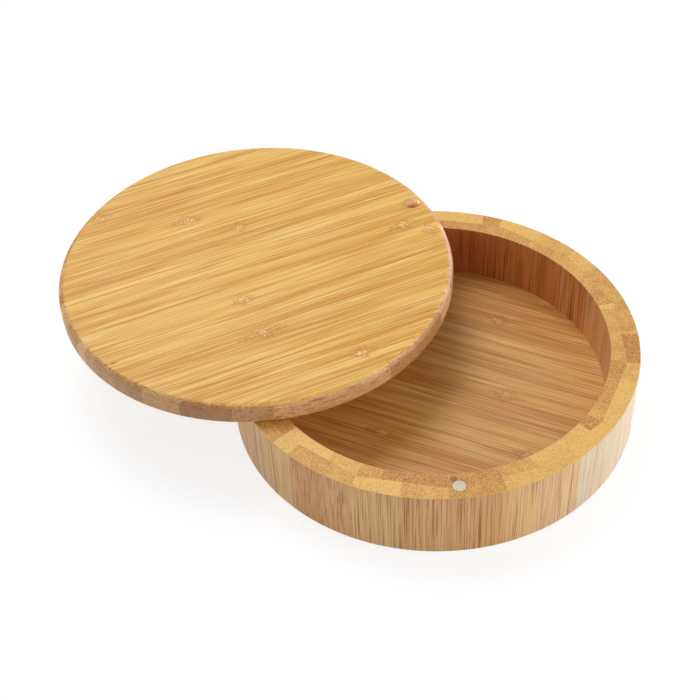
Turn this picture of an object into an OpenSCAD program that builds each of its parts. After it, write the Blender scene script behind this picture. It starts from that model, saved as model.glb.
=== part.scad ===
// Round bamboo keeper with a swivel lid.
// The wall is a ring of mitred staves, each cut from a two-ply board, round a glued-in floor.
// A thick round lid turns sideways about one upright pin in the back of the rim.
// Two disc magnets opposite the pin, one in the rim and one in the lid, hold the lid shut.
// Origin: centre of the underside. +Z is up, the pin stands at +Y and the rim's magnet at -Y.

/* [Box] */
// Outside diameter of the wall
box_d = 152; // [120:1:200]
// Height of the wall, from the table to the rim
box_h = 29; // [22:0.1:60]
// Thickness of the wall, both plies together
wall_t = 10.9; // [8.5:0.1:16]
// Number of mitred staves in the ring
stave_count = 14; // [12:1:18]
// Thickness of the inner ply at the middle of a stave
inner_ply_t = 4.4; // [3.8:0.1:5]
// How far the nearest stave joint is turned away from the pin, in degrees
joint_turn = 3; // [3:0.1:5]
// Rounding of the rim's two edges
rim_ease = 0.4; // [0.2:0.1:1]
// Rounding of the wall's foot
foot_ease = 0.8; // [0.3:0.1:1.2]

/* [Floor] */
// Thickness of the floor board
floor_t = 6; // [4:0.5:10]
// Width of the step in the wall's foot that the floor is glued into
floor_lap = 2.4; // [1.5:0.1:3]
// Rounding of the floor's lower edge
floor_ease = 0.5; // [0.2:0.1:1]

/* [Lid] */
// How far the lid's edge stands out past the wall
lid_overhang = 0.3; // [0:0.1:3]
// Thickness of the lid
lid_t = 8.4; // [8:0.1:14]
// Rounding of the lid's top edge
lid_top_round = 2.8; // [1:0.1:5]
// Rounding of the lid's lower edge
lid_under_round = 1.2; // [0.5:0.1:2.5]
// Running gap between the rim and the lid
lid_gap = 0.3; // [0.2:0.05:0.6]
// How far the lid is swung open, in degrees clockwise from above
lid_open = 65.5; // [0:0.5:180]

/* [Pin] */
// Diameter of the pin's shank
pin_d = 3.5; // [3:0.1:4.5]
// Diameter of the pin's head
pin_head_d = 5.6; // [5.2:0.1:6]
// Thickness of the pin's head
pin_head_t = 1.6; // [1:0.1:2]
// Depth of the pin in the wall
pin_depth = 16; // [10:1:16]
// Radial clearance of the pin in the lid's bore
pin_play = 0.06; // [0.02:0.01:0.1]
// Play under the pin's head
head_play = 0.1; // [0.05:0.05:0.3]
// Thickness of the wood under the pin's head
shoulder_t = 4.2; // [3:0.1:4.5]

/* [Button] */
// Diameter of the button that covers the pin's head
button_d = 6.3; // [6.2:0.1:7]
// Height of the button's dome above the lid
button_rise = 1.5; // [0.4:0.1:2.2]
// Air between the pin's head and the button
button_air = 0.3; // [0.2:0.1:0.6]

/* [Magnets] */
// Diameter of each disc magnet
magnet_d = 5; // [3:0.5:5]
// Thickness of each disc magnet
magnet_t = 3; // [2:0.5:4]

/* [Hidden] */
// Thickness of the glue round each piece that is let into the wood
glue = 0.05;
// Bevels of the pin's tip and head
tip_bevel = 0.6;
head_bevel = 0.3;
// Rounding of the magnets' edges
magnet_ease = 0.2;
// How far a cutting shape runs past the surface that it cuts
past = 1;

box_r = box_d / 2;
inner_r = box_r - wall_t;
lid_r = box_r + lid_overhang;
floor_r = inner_r + floor_lap;

// The pin and the magnets stand in the middle of the wall
pitch_r = box_r - wall_t / 2;
pin_place = [0, pitch_r];
magnet_place = [0, -pitch_r];

// The glue line between the plies is straight, so it is given by its distance from the centre
stave_angle = 360 / stave_count;
mitre_slope = tan(stave_angle / 2);
ply_line = inner_r + inner_ply_t;

// Heights from the rim up
lid_bottom = box_h + lid_gap;
lid_top = lid_bottom + lid_t;
shoulder_z = lid_bottom + shoulder_t;
head_z = shoulder_z + head_play;
head_top = head_z + pin_head_t;
button_z = head_top + button_air;

// Radius of the sphere that the button's dome belongs to
dome_r = (pow(button_d / 2, 2) + pow(button_rise, 2)) / (2 * button_rise);

// Tones of the wood, from the palest strip to the darkest
pale = [0.92, 0.77, 0.50];
gold = [0.88, 0.69, 0.40];
tan = [0.82, 0.62, 0.36];
brown = [0.70, 0.48, 0.27];
steel = [0.66, 0.66, 0.64];
nickel = [0.80, 0.77, 0.70];

// Tones of the staves' plies, anticlockwise from the pin, used again from the start if they run out
outer_tones = [gold, pale, tan, gold, tan, tan, gold, gold, gold, pale, tan, tan, gold, pale];
inner_tones = [tan, gold, tan, gold, pale, gold, brown, tan, gold, brown, tan, tan, gold, tan];

function two_digits(i) = i < 10 ? str("0", i) : str(i);
function outer_name(i) = str("outer_ply_", two_digits(i));
function inner_name(i) = str("inner_ply_", two_digits(i));
// Direction of the middle of a stave, counted anticlockwise from the joint nearest the pin
function stave_middle(i) = 90 - joint_turn + (i - 0.5) * stave_angle;
function tone(tones, i) = tones[(i - 1) % len(tones)];

$fn = 180;

// What a round takes off one corner of a section; inward is the way from the corner into the wood
module corner_waste(corner, inward, round_r) {
    start = [inward.x > 0 ? -past : -round_r, inward.y > 0 ? -past : -round_r];
    if (round_r > 0)
        translate(corner) difference() {
            translate(start) square(round_r + past);
            translate(inward * round_r) circle(round_r);
        }
}

// Upright section from radius r_in to r_out; rounds are for its low inner, low outer,
// high outer and high inner corners
module section(r_in, r_out, low, high, rounds) {
    difference() {
        translate([r_in, low]) square([r_out - r_in, high - low]);
        corner_waste([r_in, low], [1, 1], rounds[0]);
        corner_waste([r_out, low], [-1, 1], rounds[1]);
        corner_waste([r_out, high], [-1, -1], rounds[2]);
        corner_waste([r_in, high], [1, -1], rounds[3]);
    }
}

// Round disc or ring turned from such a section
module turned(r_in, r_out, low, high, rounds) {
    rotate_extrude() section(r_in, r_out, low, high, rounds);
}

// Upright hole or pocket, open at the end that runs past the surface
module drilled(place, d, low, high) {
    translate([place.x, place.y, low]) cylinder(d = d, h = high - low);
}

// The whole wall, before it is parted into staves and plies
module wall() {
    difference() {
        turned(inner_r, box_r, 0, box_h, [0, foot_ease, rim_ease, rim_ease]);
        translate([0, 0, -past]) cylinder(r = floor_r + glue, h = floor_t + past);
        drilled(pin_place, pin_d + 2 * glue, box_h - pin_depth, box_h + past);
        drilled(magnet_place, magnet_d + 2 * glue, box_h - magnet_t, box_h + past);
    }
}

// The part of the ring between the mitres of stave i, from one distance to another
module stave_space(i, near, far) {
    rotate(stave_middle(i)) translate([0, 0, -past]) linear_extrude(box_h + 2 * past)
        polygon([
            [near, -near * mitre_slope],
            [far, -far * mitre_slope],
            [far, far * mitre_slope],
            [near, near * mitre_slope]
        ]);
}

module outer_ply(i) {
    color(tone(outer_tones, i)) intersection() {
        wall();
        stave_space(i, ply_line, box_r + past);
    }
}

module inner_ply(i) {
    color(tone(inner_tones, i)) intersection() {
        wall();
        stave_space(i, inner_r / 2, ply_line);
    }
}

module floor_panel() {
    color(gold) turned(0, floor_r, 0, floor_t, [0, floor_ease, 0, 0]);
}

// A disc magnet with its lower face at the height z
module magnet(place, z) {
    translate([place.x, place.y, z])
        turned(0, magnet_d / 2, 0, magnet_t, [0, magnet_ease, magnet_ease, 0]);
}

module rim_magnet() {
    color(nickel) magnet(magnet_place, box_h - magnet_t);
}

// Headed pin, driven into the wall
module pivot_pin() {
    shank_r = pin_d / 2;
    head_r = pin_head_d / 2;
    tip_z = box_h - pin_depth;
    color(steel) translate(pin_place) rotate_extrude()
        polygon([
            [0, tip_z],
            [shank_r - tip_bevel, tip_z],
            [shank_r, tip_z + tip_bevel],
            [shank_r, head_z],
            [head_r, head_z],
            [head_r, head_top - head_bevel],
            [head_r - head_bevel, head_top],
            [0, head_top]
        ]);
}

// Swings what rides on the lid open about the pin
module on_lid() {
    translate(pin_place) rotate(-lid_open) translate(-pin_place) children();
}

module lid_panel() {
    color(gold) on_lid() difference() {
        turned(0, lid_r, lid_bottom, lid_top, [0, lid_under_round, lid_top_round, 0]);
        drilled(pin_place, pin_d + 2 * pin_play, lid_bottom - past, lid_top);
        drilled(pin_place, button_d + 2 * glue, shoulder_z, lid_top + past);
        drilled(magnet_place, magnet_d + 2 * glue, lid_bottom - past, lid_bottom + magnet_t);
    }
}

module lid_magnet() {
    color(nickel) on_lid() magnet(magnet_place, lid_bottom);
}

// Plug with a domed top, glued into the lid over the pin's head
module pin_button() {
    color(tan) on_lid() translate(pin_place) rotate_extrude() {
        translate([0, button_z]) square([button_d / 2, lid_top - button_z]);
        intersection() {
            translate([0, lid_top]) square([button_d / 2, button_rise]);
            translate([0, lid_top + button_rise - dome_r]) circle(dome_r);
        }
    }
}

for (i = [1:stave_count])
    outer_ply(i);
for (i = [1:stave_count])
    inner_ply(i);
floor_panel();
rim_magnet();
pivot_pin();
lid_panel();
lid_magnet();
pin_button();
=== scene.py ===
import math

import bpy
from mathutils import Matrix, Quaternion, Vector


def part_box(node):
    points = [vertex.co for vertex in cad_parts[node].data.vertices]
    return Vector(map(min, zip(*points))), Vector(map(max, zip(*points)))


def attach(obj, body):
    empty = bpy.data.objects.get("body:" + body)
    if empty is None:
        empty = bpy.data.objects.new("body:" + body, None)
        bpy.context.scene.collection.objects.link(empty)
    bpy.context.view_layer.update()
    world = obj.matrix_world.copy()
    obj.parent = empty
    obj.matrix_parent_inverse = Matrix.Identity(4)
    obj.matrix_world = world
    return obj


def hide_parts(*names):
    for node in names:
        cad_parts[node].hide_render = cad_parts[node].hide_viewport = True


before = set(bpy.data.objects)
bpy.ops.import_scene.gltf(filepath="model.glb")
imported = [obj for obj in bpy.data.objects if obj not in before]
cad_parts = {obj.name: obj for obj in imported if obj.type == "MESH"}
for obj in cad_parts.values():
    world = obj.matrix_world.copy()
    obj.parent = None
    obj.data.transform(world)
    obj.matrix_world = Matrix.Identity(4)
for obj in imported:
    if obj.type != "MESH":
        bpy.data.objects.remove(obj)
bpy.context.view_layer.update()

# Round bamboo keeper with a swivel lid, in metres and in the frame of the CAD model:
# +Z is up, the pin stands at +Y and the rim's magnet at -Y.

# Wall staves
# Fourteen short boards stand on end in a ring, each glued up from an outer and an inner ply
# of upright bamboo strips, mitred to its neighbours and turned round once the glue is dry.
MM = 0.001
scene = bpy.context.scene
stave_count = 14
stave_angle = math.tau / stave_count
joint_turn = math.radians(3)
wall_radius = 76 * MM
well_radius = 65.1 * MM
ply_line = 69.5 * MM
rim_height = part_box("outer_ply_08")[1][2]
rim_ease = 0.4 * MM
foot_ease = 0.8 * MM
glue_line = 0.05 * MM
floor_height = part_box("floor_panel")[1][2]
floor_radius = 67.5 * MM
pin_place = Vector((0, 70.55 * MM, 0))
pin_radius = 1.75 * MM
pin_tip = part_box("pivot_pin")[0][2]
magnet_radius = 2.5 * MM
magnet_depth = 3 * MM
magnet_place = -pin_place
magnet_top = magnet_place + Vector((0, 0, rim_height))


class Wire:
    """What leaves a socket in a node tree. Sums on it add Math nodes to that tree."""

    def __init__(self, tree, socket=None):
        self.tree = tree
        self.socket = socket

    def add(self, kind, settings=None, values=None, out=0):
        """Adds any node: its settings first, then the values or links of its sockets."""
        node = self.tree.nodes.new(kind)
        for name, setting in (settings or {}).items():
            setattr(node, name, setting)
        for key, value in (values or {}).items():
            if isinstance(value, Wire):
                self.tree.links.new(value.socket, node.inputs[key])
            else:
                node.inputs[key].default_value = value
        return Wire(self.tree, node.outputs[out])

    def math(self, operation, *terms):
        """A Math node on these terms, or on this alone."""
        return self.add("ShaderNodeMath", {"operation": operation}, dict(enumerate(terms or (self,))))

    def __add__(self, other):
        return self.math("ADD", self, other)

    def __sub__(self, other):
        return self.math("SUBTRACT", self, other)

    def __rsub__(self, other):
        return self.math("SUBTRACT", other, self)

    def __mul__(self, other):
        return self.math("MULTIPLY", self, other)

    def __truediv__(self, other):
        return self.math("DIVIDE", self, other)

    def __rtruediv__(self, other):
        return self.math("DIVIDE", other, self)

    def __gt__(self, other):
        return self.math("GREATER_THAN", self, other)

    def __lt__(self, other):
        return self.math("LESS_THAN", self, other)

    __radd__ = __add__
    __rmul__ = __mul__

    def size(self):
        return self.math("ABSOLUTE")

    def highest(self, other):
        return self.math("MAXIMUM", self, other)

    def parts(self):
        """The three numbers of a vector."""
        split = self.add("ShaderNodeSeparateXYZ", values={0: self}).socket.node
        return [Wire(self.tree, output) for output in split.outputs]

    def ramp(self, start, end, low=0.0, high=1.0):
        """Climbs smoothly from low to high while this goes from start to end."""
        limits = {0: self, 1: start, 2: end, 3: low, 4: high}
        return self.add("ShaderNodeMapRange", {"interpolation_type": "SMOOTHSTEP"}, limits)

    def blend(self, low, high):
        """Colour that goes from low to high as this goes from 0 to 1."""
        return self.add("ShaderNodeMix", {"data_type": "RGBA"}, {0: self, 6: low, 7: high}, 2)


def section_tree():
    """Tree that sweeps a four-cornered section round the z axis and cuts a shape out of it."""
    hairline = 1e-6
    weld_distance = 2e-6
    nearly_whole_turn = 6.2
    sharpest_smooth_edge = math.radians(35)
    tree = bpy.data.node_groups.new("swept section", "GeometryNodeTree")
    tree.interface.new_socket("Geometry", in_out="OUTPUT", socket_type="NodeSocketGeometry")
    numbers = ["Inner radius", "Outer radius", "Low", "High", "Low inner round", "Low outer round",
               "High outer round", "High inner round", "Flat inner side", "Flat outer side",
               "Sweep", "Turn"]
    kinds = {name: "NodeSocketFloat" for name in numbers}
    kinds.update({"Columns": "NodeSocketInt", "Round steps": "NodeSocketInt",
                  "Place": "NodeSocketVector", "End tones": "NodeSocketVector",
                  "Face tones": "NodeSocketVector", "Cutter": "NodeSocketObject",
                  "Material": "NodeSocketMaterial"})
    for name, kind in kinds.items():
        tree.interface.new_socket(name, in_out="INPUT", socket_type=kind)
    root = Wire(tree)
    entry = tree.nodes.new("NodeGroupInput")
    given = {name: Wire(tree, entry.outputs[name]) for name in kinds}

    def vector(x, y, z):
        return root.add("ShaderNodeCombineXYZ", values={0: x, 1: y, 2: z})

    # The section is drawn flat, x for the radius and y for the height
    corners = {
        "Point 1": vector(given["Inner radius"], given["Low"], 0),
        "Point 2": vector(given["Outer radius"], given["Low"], 0),
        "Point 3": vector(given["Outer radius"], given["High"], 0),
        "Point 4": vector(given["Inner radius"], given["High"], 0),
    }
    outline = root.add("GeometryNodeCurvePrimitiveQuadrilateral", {"mode": "POINTS"}, corners)
    index = root.add("GeometryNodeInputIndex")
    rounds = ["Low inner round", "Low outer round", "High outer round", "High inner round"]
    corner_round = sum(given[name] * index.math("COMPARE", index, place, 0.1)
                       for place, name in enumerate(rounds))
    outline = root.add("GeometryNodeFilletCurve", {"mode": "POLY"}, {
        "Curve": outline, "Count": given["Round steps"], "Radius": corner_round})
    position = root.add("GeometryNodeInputPosition")
    outline = root.add("GeometryNodeStoreNamedAttribute", {"data_type": "FLOAT_VECTOR"}, {
        "Geometry": outline, "Name": "section", "Value": position})

    # The path only carries the angle: each point is then put at its radius, angle and height
    path = root.add("GeometryNodeCurveArc", values={
        "Resolution": given["Columns"] + 1, "Radius": 1.0, "Sweep Angle": 1.0})
    angle = (index / given["Columns"] - 0.5) * given["Sweep"]
    path = root.add("GeometryNodeStoreNamedAttribute", values={
        "Geometry": path, "Name": "angle", "Value": angle})
    shell = root.add("GeometryNodeCurveToMesh", values={
        "Curve": path, "Profile Curve": outline, "Fill Caps": given["Sweep"] < nearly_whole_turn})
    section = root.add("GeometryNodeInputNamedAttribute", {"data_type": "FLOAT_VECTOR"}, {
        "Name": "section"})
    radius, height, _ = section.parts()
    angle = root.add("GeometryNodeInputNamedAttribute", values={"Name": "angle"})
    cosine = angle.math("COSINE")
    sine = angle.math("SINE")

    # A flat side, such as the glue line between the plies, runs straight from mitre to mitre
    near = (radius - given["Inner radius"]).size() < hairline
    far = (radius - given["Outer radius"]).size() < hairline
    flat = near * given["Flat inner side"] + far * given["Flat outer side"]
    radius = radius * (flat * (1 / cosine - 1) + 1)
    shell = root.add("GeometryNodeSetPosition", values={
        "Geometry": shell, "Position": vector(radius * cosine, radius * sine, height)})
    shell = root.add("GeometryNodeMergeByDistance", values={
        "Geometry": shell, "Distance": weld_distance})
    turn = vector(0, 0, given["Turn"])
    shell = root.add("GeometryNodeTransform", values={
        "Geometry": shell, "Rotation": turn, "Translation": given["Place"]})

    cutter = root.add("GeometryNodeObjectInfo", values={"Object": given["Cutter"]}, out="Geometry")
    shell = root.add("GeometryNodeMeshBoolean", {"operation": "DIFFERENCE", "solver": "EXACT"}, {
        "Mesh 1": shell, "Mesh 2": cutter})

    # Rounded edges are shaded smooth, and sharp ones stay sharp
    edge_angle = root.add("GeometryNodeInputMeshEdgeAngle")
    shell = root.add("GeometryNodeSetShadeSmooth", {"domain": "EDGE"}, {
        "Geometry": shell, "Selection": edge_angle > sharpest_smooth_edge, "Shade Smooth": False})

    # Each piece keeps its own board's measure: x out through the plies, y along the chord, z up
    board = root.add("ShaderNodeVectorRotate", {"rotation_type": "Z_AXIS"}, {
        "Vector": position, "Angle": given["Turn"] * -1})
    kept = {"board": board, "end tones": given["End tones"], "face tones": given["Face tones"]}
    for name, value in kept.items():
        shell = root.add("GeometryNodeStoreNamedAttribute", {"data_type": "FLOAT_VECTOR"}, {
            "Geometry": shell, "Name": name, "Value": value})
    shell = root.add("GeometryNodeStoreNamedAttribute", values={
        "Geometry": shell, "Name": "lot", "Value": given["Turn"]})
    for spent in ("section", "angle"):
        shell = root.add("GeometryNodeRemoveAttribute", values={"Geometry": shell, "Name": spent})
    shell = root.add("GeometryNodeRealizeInstances", values={"Geometry": shell})
    shell = root.add("GeometryNodeSetMaterial", values={
        "Geometry": shell, "Material": given["Material"]})
    exit_node = tree.nodes.new("NodeGroupOutput")
    tree.links.new(shell.socket, exit_node.inputs["Geometry"])
    return tree


swept_section = section_tree()
section_sockets = {item.name: item.identifier for item in swept_section.interface.items_tree
                   if item.in_out == "INPUT"}


def swept_piece(name, **sizes):
    """Makes a piece with the tree above, as a plain mesh that lies at its place."""
    piece = bpy.data.objects.new(name, bpy.data.meshes.new(name))
    scene.collection.objects.link(piece)
    modifier = piece.modifiers.new("section", "NODES")
    modifier.node_group = swept_section
    settings = {"Sweep": math.tau, "Columns": 240, "Round steps": 8}
    settings.update({key.replace("_", " ").capitalize(): value for key, value in sizes.items()})
    for key, value in settings.items():
        modifier[section_sockets[key]] = value
    piece.modifiers.new("even shading", "WEIGHTED_NORMAL").keep_sharp = True
    graph = bpy.context.evaluated_depsgraph_get()
    mesh = bpy.data.meshes.new_from_object(piece.evaluated_get(graph), depsgraph=graph)
    piece.modifiers.clear()
    empty = piece.data
    piece.data = mesh
    mesh.name = name
    bpy.data.meshes.remove(empty)
    return piece


def cutting_shape(name, *discs):
    """One object that holds every disc (radius, low, high, place) that a piece is cut with."""
    shapes = [swept_piece(f"{name}_{number}", inner_radius=0.0, outer_radius=radius, low=low,
                          high=high, place=place, columns=96)
              for number, (radius, low, high, place) in enumerate(discs)]
    with bpy.context.temp_override(active_object=shapes[0], selected_editable_objects=shapes):
        bpy.ops.object.join()
    return shapes[0]


def tint(red, green, blue):
    """Colour as a screen shows it, 0 to 255, in the linear numbers of a shader."""
    shares = [part / 255 for part in (red, green, blue)]
    return [share / 12.92 if share < 0.04045 else ((share + 0.055) / 1.055) ** 2.4
            for share in shares] + [1.0]


def new_material(name):
    """An empty material: the way into its tree, and its main shader."""
    material = bpy.data.materials.new(name)
    material.use_nodes = True
    return material, Wire(material.node_tree), material.node_tree.nodes["Principled BSDF"]


def finish(root, shader, colour, roughness, height, depth):
    """Feeds what changes over a surface into the shader; depth is the bump's, in metres."""
    bump = root.add("ShaderNodeBump", values={"Height": height, "Distance": depth, "Strength": 1.0})
    for name, wire in {"Base Color": colour, "Roughness": roughness, "Normal": bump}.items():
        root.tree.links.new(wire.socket, shader.inputs[name])


# The strips are measured in millimetres, as all of the grain is, and the fibres' relief in metres
strip_width = 5.6
fibre_relief = 0.03 * MM
oiled_roughness = 0.44


def grain(root, along, across, through, lot, run):
    """Split cane, measured in millimetres: its fibres run along it, each for about the run given.

    Each strip is close-grained at its skin and open at its pith. Returns the strip's own chance
    number, its skin side, soft bands, brown streaks, fibre bundles, fine lines and pale lines,
    all from 0 to 1.
    """
    lot_step = 10
    chance_shift = 61
    bundle_depth = 0.9
    strip = across / strip_width
    whole = strip.math("FLOOR")
    chance = root.add("ShaderNodeTexWhiteNoise", {"noise_dimensions": "2D"}, {
        "Vector": root.add("ShaderNodeCombineXYZ", values={0: whole, 1: lot * lot_step})}, "Value")

    # Half of the strips lie with their skin the other way
    turned = chance > 0.5
    part = strip - whole
    skin = part + turned * (1 - part * 2)

    def threads(length, width, shift, detail):
        place = root.add("ShaderNodeCombineXYZ", values={
            0: along / length + chance * chance_shift + shift, 1: across / width, 2: through / width})
        return root.add("ShaderNodeTexNoise", values={
            "Vector": place, "Scale": 1.0, "Detail": detail, "Roughness": 0.6})

    bands = threads(length=80, width=3.4, shift=0, detail=2.0).ramp(0.32, 0.68)
    streaks = threads(length=run, width=0.8, shift=20, detail=1.5).ramp(0.56, 0.66)
    lines = threads(length=run * 0.6, width=0.3, shift=40, detail=1.0).ramp(0.52, 0.62)
    pale = threads(length=run * 0.6, width=0.45, shift=60, detail=1.0).ramp(0.57, 0.68)

    # The bundles are small and crowded at the skin, large and loose at the pith
    crowding = skin * (skin * 2.8 + 3.4)
    place = root.add("ShaderNodeCombineXYZ", values={
        0: along / (run * 1.4) + chance * chance_shift, 1: crowding, 2: through / bundle_depth})
    bundles = root.add("ShaderNodeTexVoronoi", values={
        "Vector": place, "Scale": 1.0, "Randomness": 0.85}).ramp(0.4, 0.2)
    return chance, skin, bands, streaks, bundles, lines, pale


def stave_material(name, face_tints, line_tint):
    """Finish of the wall's plies: upright fibres on the faces, dotted end grain on the rim."""
    joint_share = 0.25
    mitre_line = 0.2
    glue_line_width = 0.16
    magnet_edge = magnet_radius / MM
    glue_ring = 0.45
    material, root, shader = new_material(name)
    board = root.add("ShaderNodeAttribute", {"attribute_name": "board"}, out="Vector")
    lot = root.add("ShaderNodeAttribute", {"attribute_name": "lot"}, out="Fac")
    end_tones = root.add("ShaderNodeAttribute", {"attribute_name": "end tones"}, out="Vector")
    face_tones = root.add("ShaderNodeAttribute", {"attribute_name": "face tones"}, out="Vector")
    before, after, change = end_tones.parts()
    face_before, face_after, _ = face_tones.parts()
    depth, chord, height = (part / MM for part in board.parts())
    second = chord > change
    end_tone = before + (after - before) * second
    face_tone = face_before + (face_after - face_before) * second

    # A board sawn flat is dark and shows its fibres as short dashes, one sawn on edge as long lines
    run = face_tone.ramp(0.1, 0.22, low=12, high=60)
    chance, skin, bands, streaks, bundles, lines, pale = grain(root, height, chord, depth, lot, run)
    tone = face_tone * 0.7 + chance * 0.16 + bands * 0.1 + (1 - skin) * 0.04
    dark, middle, light, pale_and_glare = face_tints
    face = tone.ramp(0, 0.5).blend(dark, middle)
    face = tone.ramp(0.5, 0.8).blend(face, light)
    # Above a tone of 1 the face turns to a pale tint: partly the board's own paleness, partly painted
    # glare from the light at the right
    face = tone.ramp(0.9, 1.1).blend(face, pale_and_glare)
    face = (pale * 0.3).blend(face, light)
    fade = tone.ramp(0.5, 1.0, low=1, high=0.6)
    marks = (streaks * 0.1).highest(lines * (0.6 + skin * 0.35)).highest(bundles * 0.2)
    face = (marks * fade).blend(face, line_tint)

    # The rim shows the cut ends of the fibres, dark between paler wood, with fine pale specks that are
    # partly painted glints
    blotch = root.add("ShaderNodeTexNoise", values={"Vector": board, "Scale": 420.0, "Detail": 1.0})
    speckle = root.add("ShaderNodeTexNoise", values={"Vector": board, "Scale": 2200.0, "Detail": 0.0})
    tone = end_tone + (chance - 0.5) * 0.14 + (bands - 0.5) * 0.16 + (blotch - 0.5) * 0.36
    top = tone.ramp(0, 1).blend(rim_dark, rim_light)
    top = (bundles * 0.33).blend(top, rim_dot)
    top = (speckle.ramp(0.42, 0.62) * (1 - bundles) * 0.45).blend(top, rim_pale_and_highlight)

    # Round the rim's magnet a little glue shows, and beside it the inner ply has a small dark spot
    place = root.add("ShaderNodeTexCoord", out="Object")

    def distance(centre):
        apart = {0: place, 1: centre}
        return root.add("ShaderNodeVectorMath", {"operation": "DISTANCE"}, apart, "Value") / MM

    glue = distance(magnet_top).ramp(magnet_edge, magnet_edge + glue_ring, low=0.45, high=0)
    top = glue.blend(top, glue_tint)
    dark_spot = (distance(dark_spot_place) + (speckle - 0.5) * 1.2).ramp(1.0, 1.4, low=0.9, high=0)
    top = dark_spot.blend(top, dark_spot_tint)

    # What faces up shows its ends, the rim's eased edges get a painted highlight, and thin lines mark
    # the joints
    level = root.add("ShaderNodeTexCoord", out="Normal").parts()[2].size()
    end = level.ramp(0.5, 0.85)
    # Painted highlight: a pale band along the rim's eased edges, all round
    top = level.ramp(0.99, 0.9, low=0, high=0.5).blend(top, rim_pale_and_highlight)
    from_mitre = depth * math.tan(stave_angle / 2) - chord.size()
    from_glue_line = (depth - ply_line / MM).size()
    mitre = from_mitre.ramp(0.0, mitre_line, low=joint_share, high=0)
    lamination = from_glue_line.ramp(0.0, glue_line_width, low=joint_share, high=0)
    joint = mitre.highest(lamination) * end
    colour = joint.blend(end.blend(face, top), line_tint)
    roughness = oiled_roughness + lines * 0.1 + bundles * end * 0.1
    relief = 1 - lines * 0.5 - bundles * 0.4 - joint
    finish(root, shader, colour, roughness, relief, fibre_relief)
    return material


rim_light = tint(227, 178, 92)
rim_dark = tint(175, 101, 18)
rim_dot = tint(160, 80, 10)
# Pale specks of the rim's end grain, also used as the painted highlight on its eased edges
rim_pale_and_highlight = tint(242, 204, 116)
glue_tint = tint(120, 104, 62)
dark_spot_tint = tint(142, 74, 26)
dark_spot_place = magnet_top + Vector((-1.5 * MM, 3.05 * MM, 0))

# Tints of the faces, from dark to a pale tint that is partly painted glare
outer_tints = (tint(206, 146, 86), tint(228, 183, 122), tint(230, 196, 148), tint(230, 208, 176))
# The inner ply's tints, and its line tint below, are darker and redder than the outer ply's: painted
# shade of the well
inner_shaded_tints = (tint(176, 94, 42), tint(208, 130, 70), tint(228, 164, 108), tint(236, 186, 132))
outer_finish = stave_material("bamboo_outer_ply", outer_tints, tint(152, 82, 36))
inner_finish = stave_material("bamboo_inner_ply", inner_shaded_tints, tint(96, 44, 16))

# Tones of each board, from 0, dark, to 1, pale, and above that a pale tint that is partly painted
# glare. They are its tones at its end on the rim and on its face, each before and after the line where
# its tone changes, and then how far that line lies from the board's middle in mm. The boards are
# counted anticlockwise from the joint nearest the pin.
outer_boards = [
    (0.55, 0.75, 0.5, 0.6, 4), (0.7, 0.4, 0.6, 0.4, -3), (0.35, 0.6, 0.4, 0.6, 2),
    (0.6, 0.6, 0.5, 0.5, 0), (0.4, 0.45, 0.4, 0.65, 6), (0.92, 0.47, 0.62, 0.12, -8.8),
    (0.88, 0.52, 0.48, 0.2, 0), (0.4, 0.72, 0.28, 0.52, 3), (0.7, 0.92, 0.6, 1.3, -1.4),
    (0.83, 0.65, 1.5, 1.5, 7.3), (0.03, 0.45, 1.2, 0.8, -1.5), (0.46, 0.72, 0.5, 0.7, 4.2),
    (0.6, 0.92, 0.6, 0.8, -0.5), (0.26, 0.86, 0.3, 0.7, -9.1)]
# On the inner ply, the boards at the right of the well have paler faces, which are painted light thrown
# back into the well
inner_boards = [
    (0.5, 0.35, 0.3, 0.3, -4), (0.6, 0.6, 0.5, 0.5, 0), (0.3, 0.55, 0.3, 0.5, 5),
    (0.5, 0.5, 0.4, 0.4, 0), (0.3, 0.3, 0.4, 0.3, 2), (1.07, 0.65, 0.6, 0.5, 3.6),
    (0.45, 0.12, 0.4, 0.3, -7.2), (0.31, 0.48, 0.4, 0.4, 3), (0.8, 0.2, 0.6, 0.3, 9.4),
    (0.5, 0.31, 0.6, 0.5, -7.4), (0.52, 0.88, 0.9, 0.9, 12.5), (0.3, 0.55, 0.8, 0.6, -5.5),
    (0.48, 0.43, 0.4, 0.4, 0), (0.36, 0.26, 0.3, 0.3, 0)]

past = 1 * MM
wall_cutter = cutting_shape(
    "wall_cutter",
    (floor_radius + glue_line, -past, floor_height, Vector()),
    (pin_radius + glue_line, pin_tip, rim_height + past, pin_place),
    (magnet_radius + glue_line, rim_height - magnet_depth, rim_height + past, magnet_place))


def stave_ply(side, number, boards, **sizes):
    """Makes one ply of a stave, the outer or the inner one, and puts it on the box."""
    end_before, end_after, face_before, face_after, change = boards[number - 1]
    ply = swept_piece(
        f"{side}_stave_{number:02d}", low=0.0, high=rim_height, sweep=stave_angle,
        turn=math.pi / 2 - joint_turn + (number - 0.5) * stave_angle, columns=18, round_steps=5,
        end_tones=(end_before, end_after, change), face_tones=(face_before, face_after, 0),
        cutter=wall_cutter, **sizes)
    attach(ply, "box")
    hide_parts(f"{side}_ply_{number:02d}")


for number in range(1, stave_count + 1):
    stave_ply("outer", number, outer_boards, inner_radius=ply_line, outer_radius=wall_radius,
              flat_inner_side=1.0, low_outer_round=foot_ease, high_outer_round=rim_ease,
              material=outer_finish)
    stave_ply("inner", number, inner_boards, inner_radius=well_radius, outer_radius=ply_line,
              flat_outer_side=1.0, high_inner_round=rim_ease, material=inner_finish)
bpy.data.objects.remove(wall_cutter)

# Floor
# A round board glued up from upright strips of bamboo and let into a step in the wall's foot,
# with its lower edge eased.
floor_ease = 0.5 * MM


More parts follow.
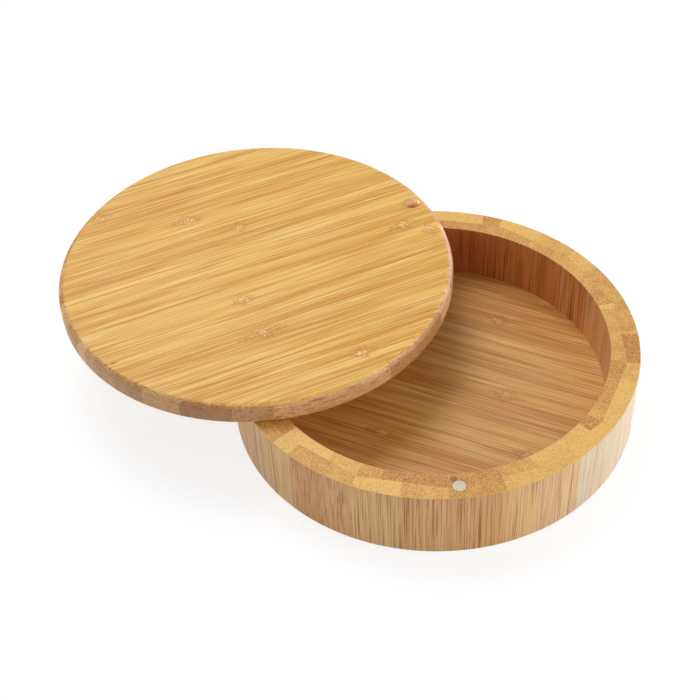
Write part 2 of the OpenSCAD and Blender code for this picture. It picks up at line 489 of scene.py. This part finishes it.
def board_material(name, centre, grain_turn, tints, marks=(), cracks=(), end_slopes=(0.25, 0.5)):
    """Finish of a board of flush strips: long streaks, and marks where the cane had its nodes.

    The tints of the cut ends begin where the surface slopes along the grain by end_slopes.
    """
    smudge_width = 2.8
    knot_length = 3
    knot_width = 2.2
    split_width = 0.35
    fibre_run = 60
    material, root, shader = new_material(name)
    place = root.add("ShaderNodeTexCoord", out="Object")
    place = root.add("ShaderNodeMapping", {"vector_type": "TEXTURE"}, {
        "Vector": place, "Location": centre, "Rotation": (0, 0, grain_turn), "Scale": (MM, MM, MM)})
    along, across, through = place.parts()

    def cloud(length, width):
        place = root.add("ShaderNodeCombineXYZ", values={
            0: along / length, 1: across / width, 2: through})
        return root.add("ShaderNodeTexNoise", values={"Vector": place, "Scale": 1.0, "Detail": 2.0})

    # At each node the fibres swerve round a pale knot between brown, mottled smudges
    wobble = cloud(length=2.6, width=1.3) - 0.5
    mottle = cloud(length=0.9, width=0.6)
    smudges = knots = splits = 0
    for mark_along, mark_across, length in marks:
        from_mark = (along - mark_along).size()
        beside = (across - mark_across).size()
        smudge = from_mark / length + beside / smudge_width + wobble * 2
        smudges = smudge.ramp(0.7, 1.7, low=1, high=0).highest(smudges)
        knot = from_mark / knot_length + beside / knot_width + wobble * 2
        knots = knot.ramp(0.6, 1.1, low=1, high=0).highest(knots)
    for split_along, split_across, length in cracks:
        split = (along - split_along).size() / length + (across - split_across).size() / split_width
        splits = split.ramp(0.6, 1.2, low=0.9, high=0).highest(splits)
    if marks:
        across = across + smudges * wobble * 2

    chance, skin, bands, streaks, bundles, lines, pale = grain(
        root, along, across, through, lot=0, run=fibre_run)
    tone = chance * 0.25 + bands * 0.45 + (1 - skin) * 0.3
    face = tone.ramp(0.1, 0.9).blend(tints["dark"], tints["light"])
    face = (pale * 0.7).blend(face, tints["cream"])
    face = (streaks * 0.4).blend(face, tints["streak"])
    face = (lines * (0.4 + skin * 0.4)).highest(bundles * 0.5).blend(face, tints["line"])
    if marks:
        face = (smudges * mottle.ramp(0.42, 0.58, low=0.1, high=0.6)).blend(face, tints["line"])
        face = (knots * mottle.ramp(0.55, 0.4, low=0.1, high=0.55)).blend(face, tints["cream"])
    if cracks:
        face = splits.blend(face, tints["dot"])

    # Cut ends show where the surface slopes along the grain, and more so on an upright edge
    facing = root.add("ShaderNodeTexCoord", out="Normal")
    slope = root.add("ShaderNodeVectorMath", {"operation": "DOT_PRODUCT"}, {
        0: facing, 1: (math.cos(grain_turn), math.sin(grain_turn), 0)}, "Value").size()
    upright = facing.parts()[2].size().ramp(0.8, 0.45)
    end = (slope + upright * 0.6 + bundles * 0.12 + chance * 0.1).ramp(*end_slopes)
    ends = (chance * 0.9 + bands * 0.1).blend(tints["end_dark"], tints["end_light"])
    fleck = root.add("ShaderNodeTexNoise", values={"Vector": place, "Scale": 1.3, "Detail": 1.0})
    ends = (fleck.ramp(0.45, 0.65) * 0.28).highest(bundles * 0.6).blend(ends, tints["dot"])
    colour = end.blend(face, ends)
    roughness = oiled_roughness + lines * 0.1
    relief = 1 - lines * 0.5 - bundles * 0.4
    finish(root, shader, colour, roughness, relief, fibre_relief)
    return material


floor_tints = {
    "dark": tint(202, 142, 62), "light": tint(230, 182, 100), "cream": tint(242, 208, 144),
    "streak": tint(196, 124, 50), "line": tint(168, 96, 32), "dot": tint(150, 96, 50),
    "end_dark": tint(190, 128, 70), "end_light": tint(220, 164, 100)}

# Where the cane's nodes show: mm along the grain, mm across it, and half their length
floor_marks = [(-34, 20, 5), (-8, -31, 6), (12, 42, 4), (28, 4, 6), (45, -22, 5)]
floor_turn = math.radians(-28)
floor_finish = board_material("bamboo_floor_board", Vector(), floor_turn, floor_tints, floor_marks)
floor_board = swept_piece("floor_board", inner_radius=0.0, outer_radius=floor_radius, low=0.0,
                          high=floor_height, low_outer_round=floor_ease, material=floor_finish)
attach(floor_board, "box")
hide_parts("floor_panel")

# Rim magnet
# A small disc magnet in nickel plate with slightly rounded edges, glued flush into a pocket that
# is drilled into the front of the rim.
magnet_ease = 0.2 * MM


def plated_material(name, light, dark, roughness, brushing):
    """Finish of a small metal piece: dull plate with faint stains and fine scratches.

    The larger a number of brushing, the closer the scratches lie that way.
    """
    scratch_relief = 0.004 * MM
    material, root, shader = new_material(name)
    place = root.add("ShaderNodeTexCoord", out="Object")
    stain = root.add("ShaderNodeTexNoise", values={"Vector": place, "Scale": 700.0, "Detail": 3.0})
    fine = root.add("ShaderNodeMapping", values={"Vector": place, "Scale": brushing})
    scratch = root.add("ShaderNodeTexNoise", values={"Vector": fine, "Scale": 1.0, "Detail": 2.0})
    shader.inputs["Metallic"].default_value = 1.0
    colour = stain.ramp(0.3, 0.7).blend(dark, light)
    finish(root, shader, colour, roughness + scratch * 0.14, scratch, scratch_relief)
    return material


nickel_finish = plated_material("dull_nickel", tint(178, 167, 146), tint(167, 156, 134),
                                roughness=0.55, brushing=(9000, 1500, 1500))


def magnet_piece(name, place, low):
    return swept_piece(name, inner_radius=0.0, outer_radius=magnet_radius, low=low,
                       high=low + magnet_depth, low_outer_round=magnet_ease,
                       high_outer_round=magnet_ease, place=place, columns=64, round_steps=4,
                       material=nickel_finish)


rim_disc = magnet_piece("rim_disc_magnet", magnet_place, rim_height - magnet_depth)
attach(rim_disc, "box")
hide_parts("rim_magnet")

# Pivot pin
# A plain steel pin with a flat head, driven upright into the back of the wall. The lid turns on
# its shank and is kept down by its head.
steel_finish = plated_material("plain_steel", tint(196, 196, 194), tint(160, 160, 158),
                               roughness=0.3, brushing=(900, 900, 9000))
pin_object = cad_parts["pivot_pin"]
for material_slot in pin_object.material_slots:
    material_slot.material = steel_finish

# Lid
# A thick round board of flush bamboo strips, well rounded on top. It is bored for the pin, with
# a wider seat above for the pin's head and the button, and drilled from below for its magnet.
lid_open = math.radians(65.5)
lid_low, lid_high = (corner[2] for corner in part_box("lid_panel"))
lid_radius = 76.3 * MM
lid_top_round = 2.8 * MM
lid_under_round = 1.2 * MM
lid_turn = Quaternion((0, 0, 1), -lid_open)
lid_centre = pin_place + lid_turn @ -pin_place
lid_magnet_place = pin_place + lid_turn @ (magnet_place - pin_place)
pin_bore_radius = 1.81 * MM
seat_radius = 3.2 * MM
seat_low = lid_low + 4.2 * MM
lid_cutter = cutting_shape(
    "lid_cutter",
    (pin_bore_radius, lid_low - past, lid_high + past, pin_place),
    (seat_radius, seat_low, lid_high + past, pin_place),
    (magnet_radius + glue_line, lid_low - past, lid_low + magnet_depth, lid_magnet_place))

# Nodes of the cane and a short split near the edge, given as the floor's are
lid_marks = [(-46, 53.5, 4), (-15, 36, 8), (2, 23, 3), (-12, -17.5, 5), (-12, -37.5, 9),
             (61, -5, 6), (69, -12, 3), (16.5, -63, 5)]
lid_cracks = [(-66.6, -28.1, 2.6)]
lid_grain_turn = math.radians(20)
lid_tints = {
    "dark": tint(214, 156, 50), "light": tint(236, 192, 98), "cream": tint(248, 222, 150),
    "streak": tint(208, 138, 26), "line": tint(182, 104, 10), "dot": tint(108, 68, 34),
    "end_dark": tint(168, 114, 66), "end_light": tint(230, 184, 128)}
lid_finish = board_material("bamboo_lid_board", lid_centre, lid_grain_turn, lid_tints, lid_marks,
                            lid_cracks)
lid_board = swept_piece("lid_board", inner_radius=0.0, outer_radius=lid_radius, low=lid_low,
                        high=lid_high, low_outer_round=lid_under_round,
                        high_outer_round=lid_top_round, round_steps=12, place=lid_centre,
                        cutter=lid_cutter, material=lid_finish)
bpy.data.objects.remove(lid_cutter)
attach(lid_board, "lid")
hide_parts("lid_panel")

# Lid magnet
# The rim magnet's partner in the same nickel plate, glued flush into the underside of the lid,
# where it meets the rim's magnet when the lid is shut.
lid_disc = magnet_piece("lid_disc_magnet", lid_magnet_place, lid_low)
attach(lid_disc, "lid")
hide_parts("lid_magnet")

# Pin button
# A small turned bamboo plug with a low dome, glued into the seat over the pin's head. Its fibres run
# across it from front to back, so its steepest slopes show dark cut ends there, which on the front
# slope also stand for painted shade on the dome.
button_turn = math.radians(-80)
button_tints = {
    "dark": tint(214, 160, 88), "light": tint(230, 184, 112), "cream": tint(238, 204, 144),
    "streak": tint(208, 146, 78), "line": tint(196, 130, 70), "dot": tint(122, 58, 26),
    "end_dark": tint(158, 84, 38), "end_light": tint(186, 108, 56)}
button_finish = board_material("bamboo_button", pin_place, button_turn, button_tints,
                               end_slopes=(0.46, 0.74))
button_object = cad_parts["pin_button"]
for material_slot in button_object.material_slots:
    material_slot.material = button_finish

# Table
# A plain matt white sheet that the box stands on. It is no part of the box, and it reaches past
# the picture on all sides.
table_reach = 3.0
sheet_white = 0.85
glow = 1.2
glow_share = 0.65
table_mesh = bpy.data.meshes.new("table_sheet")
table_corners = [(table_reach * x, table_reach * y, 0) for x, y in ((-1, -1), (1, -1), (1, 1), (-1, 1))]
table_mesh.from_pydata(table_corners, [], [(0, 1, 2, 3)])
table_sheet = bpy.data.objects.new("table_sheet", table_mesh)
scene.collection.objects.link(table_sheet)
table_finish, table_root, table_shader = new_material("white_sheet")
table_shader.inputs["Base Color"].default_value = (sheet_white, sheet_white, sheet_white, 1)
table_shader.inputs["Roughness"].default_value = 0.9


def seen_directly(root):
    """1 for what the camera sees, also in metal or through glass, and 0 for light passed on."""
    rays = root.add("ShaderNodeLightPath").socket.node.outputs
    kinds = ("Is Camera Ray", "Is Glossy Ray", "Is Transmission Ray")
    camera_ray, glossy_ray, transmission_ray = (Wire(root.tree, rays[kind]) for kind in kinds)
    return camera_ray.highest(glossy_ray).highest(transmission_ray)


# The camera sees the sheet partly as plain white, which keeps the shadow pale
lit = Wire(table_root.tree, table_shader.outputs[0])
white = table_root.add("ShaderNodeEmission", values={"Color": (1, 1, 1, 1), "Strength": glow})
shown = table_root.add("ShaderNodeMixShader", values={
    0: seen_directly(table_root) * glow_share, 1: lit, 2: white})
table_exit = table_root.tree.nodes["Material Output"]
table_root.tree.links.new(shown.socket, table_exit.inputs["Surface"])
table_mesh.materials.append(table_finish)

# Light
# A pale room with four square soft boxes: one high behind the box, two low at its right, of which
# one stands further back, and a weak one at the front left that fills the shadows.
room_light = 0.3
world = bpy.data.worlds.new("pale_room")
scene.world = world
world.use_nodes = True
background = world.node_tree.nodes["Background"]
background.inputs["Color"].default_value = (1, 1, 1, 1)
room = Wire(world.node_tree)
strength = seen_directly(room) * (1 - room_light) + room_light
room.tree.links.new(strength.socket, background.inputs["Strength"])


def soft_box(name, azimuth, elevation, distance, width, power):
    """A square lamp that looks at the box; azimuth is counted anticlockwise from +X, in degrees."""
    light = bpy.data.lights.new(name, "AREA")
    light.size = width
    light.energy = power
    lamp = bpy.data.objects.new(name, light)
    scene.collection.objects.link(lamp)
    azimuth = math.radians(azimuth)
    elevation = math.radians(elevation)
    away = Vector((math.cos(elevation) * math.cos(azimuth), math.cos(elevation) * math.sin(azimuth),
                   math.sin(elevation)))
    lamp.location = away * distance
    lamp.rotation_euler = away.to_track_quat("Z", "Y").to_euler()


soft_box("back_box", azimuth=118, elevation=60, distance=1.3, width=0.7, power=8.0)
soft_box("right_box", azimuth=-16, elevation=15, distance=1.2, width=0.7, power=8.2)
soft_box("edge_box", azimuth=42, elevation=10, distance=1.2, width=0.5, power=6.0)
soft_box("left_box", azimuth=225, elevation=25, distance=1.3, width=0.8, power=3.0)

# Camera
# Looks down from the front at the angle of the picture, slightly tilted. The azimuth is counted
# from straight in front, and the focal length is given in pixels of the picture.
view_azimuth = math.radians(-2.685)
view_elevation = math.radians(44.647)
view_roll = math.radians(-2.682)
view_distance = 0.5463
view_centre = Vector((-29.95 * MM, 27.39 * MM, 0))
picture_width = 700
focal_pixels = 1365.1
camera = bpy.data.cameras.new("camera")
camera.sensor_width = 36
camera.lens = focal_pixels * camera.sensor_width / picture_width
camera.clip_start = 0.01
camera.clip_end = 20
camera_object = bpy.data.objects.new("camera", camera)
scene.collection.objects.link(camera_object)
scene.camera = camera_object
back = Vector((math.sin(view_azimuth) * math.cos(view_elevation),
               -math.cos(view_azimuth) * math.cos(view_elevation), math.sin(view_elevation)))
camera_object.location = view_centre + back * view_distance
camera_object.rotation_mode = "QUATERNION"
camera_object.rotation_quaternion = (-back).to_track_quat("-Z", "Y") @ Quaternion((0, 0, 1), view_roll)
scene.view_settings.view_transform = "Standard"
